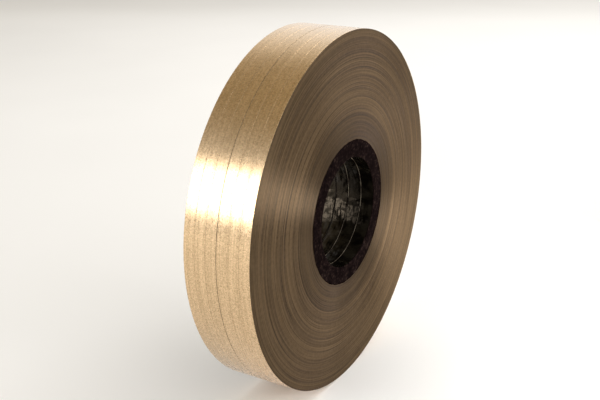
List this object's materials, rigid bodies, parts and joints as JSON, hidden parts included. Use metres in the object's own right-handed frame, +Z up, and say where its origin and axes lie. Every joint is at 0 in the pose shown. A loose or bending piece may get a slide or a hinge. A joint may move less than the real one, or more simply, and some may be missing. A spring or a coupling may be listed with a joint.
{
  "type": "copper foil tape roll",
  "caption": "Wide roll of copper foil tape: slit strips wound side by side on a dark ring core, each with a foil and liner end that lifts and peels.",
  "frame": {"origin": "the roll's centre, on its axis and midway between its two side faces", "axes": "+Y along the roll's axis from the front side face (strip 1) to the back one, +Z up, +X level; the roll stands on its rim at -Z"},
  "size_m": [0.2508, 0.0474, 0.2508],
  "materials": {
    "wound_foil": "satin",
    "foil_end": "satin",
    "release_liner": "matte",
    "core_board": "satin",
    "joint_paper": "matte"
  },
  "bodies": {
    "roll": {"tape_winding_1": "wound_foil", "tape_winding_2": "wound_foil", "tape_winding_3": "wound_foil", "tape_winding_4": "wound_foil", "tape_winding_5": "wound_foil", "tape_winding_6": "wound_foil", "core_ring_1": "core_board", "core_ring_2": "core_board", "core_ring_3": "core_board", "core_ring_4": "core_board", "core_ring_5": "core_board", "core_joint_1": "joint_paper", "core_joint_2": "joint_paper", "core_joint_3": "joint_paper", "core_joint_4": "joint_paper"},
    "liner_end_1": {"liner_end_1": "release_liner"},
    "foil_end_1": {"foil_end_1": "foil_end"},
    "liner_end_2": {"liner_end_2": "release_liner"},
    "foil_end_2": {"foil_end_2": "foil_end"},
    "liner_end_3": {"liner_end_3": "release_liner"},
    "foil_end_3": {"foil_end_3": "foil_end"},
    "liner_end_4": {"liner_end_4": "release_liner"},
    "foil_end_4": {"foil_end_4": "foil_end"},
    "liner_end_5": {"liner_end_5": "release_liner"},
    "foil_end_5": {"foil_end_5": "foil_end"},
    "liner_end_6": {"liner_end_6": "release_liner"},
    "foil_end_6": {"foil_end_6": "foil_end"}
  },
  "joints": [
    {"name": "lift_end_1", "type": "hinge", "parent": "roll", "child": "liner_end_1", "pos_m": [0.08067, 0, 0.09614], "axis": [0, -1, 0], "range_deg": [0, 60]},
    {"name": "peel_foil_1", "type": "hinge", "parent": "liner_end_1", "child": "foil_end_1", "pos_m": [0.08067, 0, 0.09614], "axis": [0, -1, 0], "range_deg": [0, 90]},
    {"name": "lift_end_2", "type": "hinge", "parent": "roll", "child": "liner_end_2", "pos_m": [0.08067, 0, 0.09614], "axis": [0, -1, 0], "range_deg": [0, 60]},
    {"name": "peel_foil_2", "type": "hinge", "parent": "liner_end_2", "child": "foil_end_2", "pos_m": [0.08067, 0, 0.09614], "axis": [0, -1, 0], "range_deg": [0, 90]},
    {"name": "lift_end_3", "type": "hinge", "parent": "roll", "child": "liner_end_3", "pos_m": [0.08067, 0, 0.09614], "axis": [0, -1, 0], "range_deg": [0, 60]},
    {"name": "peel_foil_3", "type": "hinge", "parent": "liner_end_3", "child": "foil_end_3", "pos_m": [0.08067, 0, 0.09614], "axis": [0, -1, 0], "range_deg": [0, 90]},
    {"name": "lift_end_4", "type": "hinge", "parent": "roll", "child": "liner_end_4", "pos_m": [0.08067, 0, 0.09614], "axis": [0, -1, 0], "range_deg": [0, 60]},
    {"name": "peel_foil_4", "type": "hinge", "parent": "liner_end_4", "child": "foil_end_4", "pos_m": [0.08067, 0, 0.09614], "axis": [0, -1, 0], "range_deg": [0, 90]},
    {"name": "lift_end_5", "type": "hinge", "parent": "roll", "child": "liner_end_5", "pos_m": [0.08067, 0, 0.09614], "axis": [0, -1, 0], "range_deg": [0, 60]},
    {"name": "peel_foil_5", "type": "hinge", "parent": "liner_end_5", "child": "foil_end_5", "pos_m": [0.08067, 0, 0.09614], "axis": [0, -1, 0], "range_deg": [0, 90]},
    {"name": "lift_end_6", "type": "hinge", "parent": "roll", "child": "liner_end_6", "pos_m": [0.08067, 0, 0.09614], "axis": [0, -1, 0], "range_deg": [0, 60]},
    {"name": "peel_foil_6", "type": "hinge", "parent": "liner_end_6", "child": "foil_end_6", "pos_m": [0.08067, 0, 0.09614], "axis": [0, -1, 0], "range_deg": [0, 90]}
  ]
}
